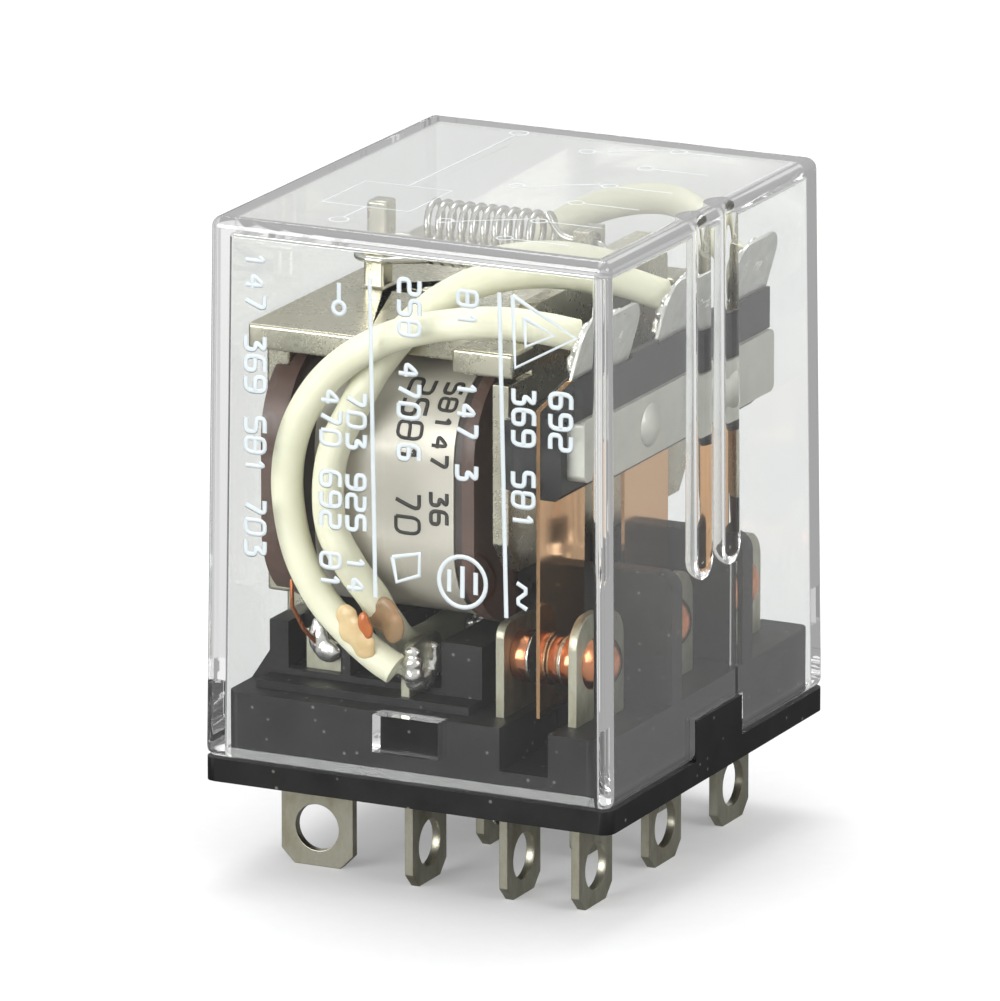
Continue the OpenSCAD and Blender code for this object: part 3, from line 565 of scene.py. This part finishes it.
sleeve = finish("cream_silicone", (0.7, 0.69, 0.54), (0.6, 0.58, 0.42), patches=0.45, patch_mm=2,
                grain_mm=0.15, gloss=(0.42, 0.6), relief_mm=0.006)
lead_routes = {
    "lead_front": (
        (-1.75, -13.05, 8.1), (-2.9, -13.15, 8.75), (-4.6, -13.2, 10.0), (-6.8, -13.3, 12.2),
        (-8.4, -13.3, 15.2), (-9.1, -13.2, 19.0), (-8.6, -13.2, 22.4), (-7.0, -13.2, 25.4),
        (-4.6, -13.2, 27.7), (-1.6, -13.2, 29.4), (1.8, -13.1, 30.4), (5.2, -12.9, 30.9),
        (7.9, -12.2, 30.7), (9.75, -11.1, 30.2),
    ),
    "lead_middle": (
        (-3.5, -1.0, 8.0), (-3.5, -7.4, 8.1), (-3.2, -11.4, 10.7), (-3.6, -12.45, 12.4),
        (-4.9, -12.9, 14.3), (-6.3, -12.9, 17.0), (-6.2, -12.85, 21.0), (-4.7, -12.45, 24.6),
        (-3.3, -11.2, 27.5), (-0.9, -10.3, 30.4), (1.9, -9.0, 32.2), (5.0, -6.9, 32.7),
        (7.6, -4.2, 32.0), (9.75, -1.2, 30.5),
    ),
    "lead_rear": (
        (-2.9, 12.45, 8.5), (-4.6, 13.1, 9.7), (-6.8, 13.2, 12.0), (-8.4, 13.2, 15.2),
        (-9.1, 13.2, 19.0), (-8.6, 13.2, 22.4), (-7.2, 13.2, 25.4), (-5.0, 13.2, 28.0),
        (-2.0, 13.1, 30.2), (1.6, 12.8, 31.6), (5.0, 12.0, 32.1), (7.6, 10.7, 31.6),
        (9.75, 9.2, 30.4),
    ),
}
for name, route in lead_routes.items():
    lead = swept_wire(name + "_sleeved", smooth_path(route), 1.0 * mm)
    cover_with(lead, sleeve)
    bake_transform(lead)
    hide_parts(name)

broken_edges("coil_lead_outs", "base", 0, enamel)


# ---- return spring ----------------------------------------------------------------------------
# A close-wound extension spring. It hooks round the yoke's upright tab and through the hole in
# the armature's tail.
spring_axis_z, spring_r, spring_turns = 32.1, 1.42, 10.5
coil_start_x, coil_end_x = -6.1, 2.1
tab_middle_x, hook_r = -9.4, 1.32
low_z = spring_axis_z - spring_r
turn_steps = 24
hook = [(tab_middle_x + hook_r * math.cos(math.radians(a)), hook_r * math.sin(math.radians(a)), low_z)
        for a in range(80, 281, 12)]
turns = []
for i in range(int(spring_turns * turn_steps) + 1):
    a = 2 * math.pi * i / turn_steps
    x = coil_start_x + (coil_end_x - coil_start_x) * i / (spring_turns * turn_steps)
    turns.append((x, spring_r * math.sin(a), spring_axis_z - spring_r * math.cos(a)))
outer_hook = [(2.6, 0, 32.8), (3.2, 0, 32.25), (4.2, 0, 32.1), (5.2, 0, 32.1), (5.85, 0, 31.95),
              (6.1, 0, 31.5), (6.0, 0, 31.0)]
inner_hook = [(-8.0, hook_r, low_z), *hook[1:], (-8.3, -1.2, low_z), (-7.1, -0.5, low_z)]
wire_path = smooth_path([*inner_hook, turns[0]], 3)
wire_path += [Vector(q) * mm for q in turns[1:]]
wire_path += smooth_path([turns[-1], *outer_hook], 4)[1:]
spring_steel = finish("spring_steel", (0.7, 0.69, 0.66), (0.5, 0.49, 0.46), patches=0.5, patch_mm=0.8,
                      grain_mm=0.1, gloss=(0.12, 0.25), relief_mm=0.002, metallic=1.0)
return_spring = swept_wire("return_spring_wound", wire_path, 0.22 * mm, 3)
cover_with(return_spring, spring_steel)
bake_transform(return_spring)
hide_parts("return_spring")


# ---- cover --------------------------------------------------------------------------------------
# A clear polycarbonate moulding, open below. Its walls lean in slightly, its edges are softly
# rounded, and two ribs run down inside the wall at the contact end.
def block(name, low, high):
    """A box between two corners, in millimetres, ready to shape in edit mode."""
    deselect()
    middle = (Vector(low) + Vector(high)) / 2 * mm
    bpy.ops.mesh.primitive_cube_add(size=1, location=middle)
    made = bpy.context.object
    made.name = name
    made.scale = (Vector(high) - Vector(low)) * mm
    bpy.ops.object.transform_apply(location=True, rotation=True, scale=True)
    return made


def edit(piece):
    """Makes a piece the only chosen one, with nothing in its mesh selected."""
    deselect()
    bpy.context.view_layer.objects.active = piece
    piece.select_set(True)
    bpy.ops.object.mode_set(mode="EDIT")
    bpy.ops.mesh.select_all(action="DESELECT")
    bpy.ops.object.mode_set(mode="OBJECT")


def pick_edges(piece, wanted):
    """Selects the edges whose two ends both pass the test, and opens the piece for editing."""
    edit(piece)
    for edge in piece.data.edges:
        a, b = (piece.data.vertices[i].co for i in edge.vertices)
        edge.select = wanted(a, b)
    bpy.ops.object.mode_set(mode="EDIT")
    bpy.ops.mesh.select_mode(type="EDGE")


def leaning_block(name, width, depth, low_z, high_z, lean, corner, top_edge):
    """A block whose sides lean in, with rounded upright corners and top edges."""
    made = block(name, (-width / 2, -depth / 2, low_z), (width / 2, depth / 2, high_z))
    for vertex in made.data.vertices:
        if vertex.co.z > (low_z + high_z) / 2 * mm:
            vertex.co.x *= 1 - 2 * lean / width
            vertex.co.y *= 1 - 2 * lean / depth
    pick_edges(made, lambda a, b: abs(a.z - b.z) > 1 * mm)
    bpy.ops.mesh.bevel(offset=corner * mm, segments=5, affect="EDGES")
    bpy.ops.object.mode_set(mode="OBJECT")
    top = max(v.co.z for v in made.data.vertices)
    pick_edges(made, lambda a, b: a.z > top - 1e-6 and b.z > top - 1e-6)
    bpy.ops.mesh.bevel(offset=top_edge * mm, segments=3, affect="EDGES")
    bpy.ops.object.mode_set(mode="OBJECT")
    return made


def carve(piece, other, operation="DIFFERENCE"):
    """Cuts one solid from another, or joins them, and drops the second."""
    deselect()
    bpy.context.view_layer.objects.active = piece
    cut = piece.modifiers.new("cut", "BOOLEAN")
    cut.operation = operation
    cut.solver = "EXACT"
    cut.object = other
    bpy.ops.object.modifier_apply(modifier="cut")
    bpy.data.objects.remove(other)


cover_x, cover_y, cover_low, cover_top, wall, lean = 28, 31.5, 1.5, 36, 1.1, 0.4
clear_cover = leaning_block("clear_cover", cover_x, cover_y, cover_low, cover_top, lean, 0.7, 0.22)
inside = leaning_block("cover_inside", cover_x - 2 * wall, cover_y - 2 * wall, cover_low - 1,
                       cover_top - wall, lean, 0.3, 0.25)
carve(clear_cover, inside)
rib_r, rib_low, rib_high, rib_x = 1.35, 12.7, 34.95, 12.95
rib_foot_round, rib_back_x = 1.1, 13.2
for rib_y in (-1.3, 2.7):
    deselect()
    bpy.ops.mesh.primitive_cylinder_add(
        vertices=40, radius=rib_r * mm, depth=(rib_high - rib_low) * mm,
        location=(rib_x * mm, rib_y * mm, (rib_high + rib_low) / 2 * mm))
    rib = bpy.context.object
    bpy.ops.object.transform_apply(location=True, rotation=True, scale=True)
    pick_edges(rib, lambda a, b: max(a.z, b.z) < (rib_low + 0.1) * mm)
    bpy.ops.mesh.bevel(offset=rib_foot_round * mm, segments=6, affect="EDGES")
    bpy.ops.object.mode_set(mode="OBJECT")
    carve(rib, block("rib_back", (rib_back_x, -5, 0), (16, 5, 40)))
    carve(clear_cover, rib, "UNION")
# A low step down the contact wall, in line with the notch's far edge
carve(clear_cover, block("wall_step", (12.45, 3.15, 3.9), (12.95, 3.55, 12.6)), "UNION")
carve(clear_cover, block("window_cut", (-2.25, -20, 3.3), (2.25, 20, 5.7)))
carve(clear_cover, block("notch_cut", (-20, -3.5, 0), (20, 3.5, 4.25)))
edit(clear_cover)
bpy.ops.object.mode_set(mode="EDIT")
bpy.ops.mesh.select_all(action="SELECT")
bpy.ops.mesh.remove_doubles(threshold=2e-6)
bpy.ops.object.mode_set(mode="OBJECT")
shade_soft(clear_cover, 35)

clear = bpy.data.materials.new("clear_polycarbonate")
clear.use_nodes = True
clear_nodes, clear_links = clear.node_tree.nodes, clear.node_tree.links
glass = clear_nodes["Principled BSDF"]
glass.inputs["IOR"].default_value = 1.58
glass.inputs["Transmission Weight"].default_value = 1
clear_mottle = clear_nodes.new("ShaderNodeGroup")
clear_mottle.node_tree = mottle
for socket, value in (
    ("Color", (0.925, 0.935, 0.925, 1)), ("Patch Color", (0.91, 0.92, 0.905, 1)), ("Patches", 0.5),
    ("Patch Scale", 120), ("Grain Scale", 900), ("Gloss Low", 0.0), ("Gloss High", 0.02),
    ("Stretch", (1, 1, 1)), ("Flecks", 0),
):
    clear_mottle.inputs[socket].default_value = value
clear_links.new(clear_mottle.outputs["Color"], glass.inputs["Base Color"])
clear_links.new(clear_mottle.outputs["Roughness"], glass.inputs["Roughness"])
lamp_ray = clear_nodes.new("ShaderNodeLightPath")
# Painted glow: after one to three inner mirrorings the glass itself shines a soft white, standing in for
# light that has run along inside a wall and comes out of its edges
glass.inputs["Emission Color"].default_value = (1, 1, 1, 1)
clear_links.new(ranged(clear_nodes, clear_links, lamp_ray.outputs["Glossy Depth"], 1, 3, 0, 0.055),
                glass.inputs["Emission Strength"])
let_through = clear_nodes.new("ShaderNodeBsdfTransparent")
let_through.inputs["Color"].default_value = (0.92, 0.93, 0.93, 1)
either = clear_nodes.new("ShaderNodeMixShader")
clear_links.new(lamp_ray.outputs["Is Shadow Ray"], either.inputs["Fac"])
clear_links.new(glass.outputs["BSDF"], either.inputs[1])
clear_links.new(let_through.outputs["BSDF"], either.inputs[2])
clear_links.new(either.outputs["Shader"], clear_nodes["Material Output"].inputs["Surface"])
cover_with(clear_cover, clear)
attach(clear_cover, "cover")
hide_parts("cover")


# ---- printing -----------------------------------------------------------------------------------
# Pad-printed marks: white on the cover's front wall and top, black on the coil's label. They are
# digits that mean nothing, rules, a few plain outlines, a wave and a simple contact sketch.
DIGITS = (
    ((0, 0), (0, 1), (1, 1), (1, 0), (0, 0)),
    ((0.5, 0), (0.5, 1), (0.2, 0.7)),
    ((0, 1), (1, 1), (1, 0.5), (0, 0.5), (0, 0), (1, 0)),
    ((0, 1), (1, 1), (0.4, 0.55), (1, 0.5), (1, 0), (0, 0)),
    ((0.8, 0), (0.8, 1), (0, 0.35), (1, 0.35)),
    ((1, 1), (0, 1), (0, 0.55), (1, 0.55), (1, 0), (0, 0)),
    ((1, 1), (0, 1), (0, 0), (1, 0), (1, 0.5), (0, 0.5)),
    ((0, 1), (1, 1), (0.4, 0)),
    ((0, 0.5), (0, 1), (1, 1), (1, 0), (0, 0), (0, 0.5), (1, 0.5)),
    ((1, 0.5), (0, 0.5), (0, 1), (1, 1), (1, 0), (0, 0)),
)


def softened(points, times=2):
    """The same stroke with its corners cut, so that it bends softly."""
    for _ in range(times):
        cut = [points[0]]
        for (a, b), (c, d) in zip(points, points[1:]):
            cut += [(0.8 * a + 0.2 * c, 0.8 * b + 0.2 * d), (0.2 * a + 0.8 * c, 0.2 * b + 0.8 * d)]
        points = [*cut, points[-1]]
    return points


def digit_column(left, right, start, end, first, pitch=1.3, gap_every=4):
    """Digits that read downwards, their tops to the right, with a space after every few."""
    strokes = []
    for i in range(int((start - end) / pitch)):
        if i % gap_every == gap_every - 1:
            continue
        top = start - i * pitch
        digit = softened(DIGITS[(first + 3 * i) % 10])
        strokes.append([(left + (right - left) * v, top - 0.68 * pitch * u) for u, v in digit])
    return strokes


def ring(x, z, radius, steps=28):
    """A closed round stroke."""
    angles = [2 * math.pi * i / steps for i in range(steps + 1)]
    return [(x + radius * math.cos(a), z + radius * math.sin(a)) for a in angles]


def printed(name, strokes, ink_mm, surface, material, body):
    """Strokes laid on a surface, which turns their two numbers and a height into a place."""
    deselect()
    line = bpy.data.curves.new(name, "CURVE")
    line.dimensions = "3D"
    line.bevel_depth = ink_mm / 2
    line.bevel_resolution = 1
    line.use_fill_caps = True
    for stroke in strokes:
        spline = line.splines.new("POLY")
        spline.points.add(len(stroke) - 1)
        for point, (u, v) in zip(spline.points, stroke):
            point.co = (u, 0, v, 1)
    marks = bpy.data.objects.new(name, line)
    bpy.context.collection.objects.link(marks)
    bpy.context.view_layer.objects.active = marks
    marks.select_set(True)
    bpy.ops.object.convert(target="MESH")
    marks = bpy.context.object
    for vertex in marks.data.vertices:
        vertex.co = Vector(surface(vertex.co.x, vertex.co.z, -0.08 * vertex.co.y)) * mm
    cover_with(marks, material)
    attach(marks, body)


label_flat, label_r, label_y, label_z = 2.5, 5.62, 6.0, 18.5


def on_front(x, z, height):
    return x, -(cover_y / 2 - lean * (z - cover_low) / (cover_top - cover_low) + 0.02 + height), z


def on_top(x, y, height):
    return x, y, cover_top + 0.02 + height


def on_label(x, along, height):
    """Along the label's outline, from the middle of its flat front up round the coil's shoulder."""
    out = label_r + 0.02 + height
    turn = max(0.0, along - label_flat) / label_r
    up = label_z + min(along, label_flat) + out * math.sin(turn)
    return x, -(label_y + out * math.cos(turn)), up


white_ink = finish("white_ink", (0.72, 0.78, 0.8), (0.6, 0.67, 0.7), patches=0.5, patch_mm=1.5,
                   grain_mm=0.1, gloss=(0.5, 0.7), relief_mm=0.003)
faint_ink = finish("faint_ink", (0.62, 0.65, 0.66), (0.5, 0.53, 0.54), patches=0.6, patch_mm=1.5,
                   grain_mm=0.1, gloss=(0.5, 0.7), relief_mm=0.003)
black_ink = finish("black_ink", (0.02, 0.018, 0.016), (0.05, 0.045, 0.04), patches=0.5, patch_mm=1.5,
                   grain_mm=0.1, gloss=(0.4, 0.6), relief_mm=0.003)
front_strokes = [
    [(-2.5, 33.3), (-2.05, 13.2)], [(6.3, 33.4), (6.9, 13.0)],
    [(-4.6, 32.8), (-4.6, 31.7)], ring(-4.6, 31.2, 0.4, 14),
    [(7.2, 33.3), (11.5, 31.1), (7.4, 28.8), (7.2, 33.3)],
    [(8.0, 32.0), (10.0, 31.1), (8.1, 30.2), (8.0, 32.0)],
    ring(3.9, 14.9, 1.6), [(3.0, 15.6), (3.0, 14.2)], [(3.9, 15.9), (3.9, 13.9)], [(4.8, 15.6), (4.8, 14.2)],
    [(7.6, 15.3), (8.2, 15.0), (8.2, 14.7), (7.7, 14.3), (7.7, 14.0), (8.3, 13.7)],
    [(-0.9, 15.9), (0.95, 16.35), (0.95, 14.95), (-0.6, 14.35), (-0.9, 15.9)],
]
for column in ((-11.0, -9.7, 34.0, 13.0, 1), (-5.8, -4.5, 26.0, 13.0, 4), (-4.0, -2.8, 26.0, 13.0, 7),
               (-0.5, 0.9, 33.5, 21.0, 2), (3.5, 4.8, 33.2, 30.0, 8), (3.5, 4.8, 27.5, 20.5, 1),
               (7.3, 8.7, 27.5, 17.0, 3), (9.8, 11.2, 27.5, 21.5, 6)):
    front_strokes += digit_column(*column)
printed("front_print", front_strokes, 0.33, on_front, white_ink, "cover")
top_strokes = [
    [(-9.0, -9.0), (-3.0, -9.0), (-3.0, -3.0), (-9.0, -3.0), (-9.0, -9.0)],
    [(-6.0, -9.0), (-6.0, -12.0)], [(-6.0, -3.0), (-6.0, 12.0)],
    ring(-6.0, -12.6, 0.6, 16), ring(-6.0, 12.6, 0.6, 16),
]
for pole_y in (-10, 0, 10):
    top_strokes += [[(0.5, pole_y), (4.5, pole_y + 2.6)], ring(0.0, pole_y, 0.5, 14)]
    for contact_y in (pole_y - 2.4, pole_y + 2.4):
        top_strokes += [ring(5.2, contact_y, 0.5, 14), [(5.7, contact_y), (9.5, contact_y)]]
printed("top_print", top_strokes, 0.16, on_top, faint_ink, "cover")
label_strokes = digit_column(-2.4, -0.8, 8.0, -2.6, 2, 1.5, 5)
label_strokes += digit_column(0.0, 1.1, 8.0, -2.6, 5, 1.2, 6)
printed("label_print", label_strokes, 0.26, on_label, black_ink, "base")
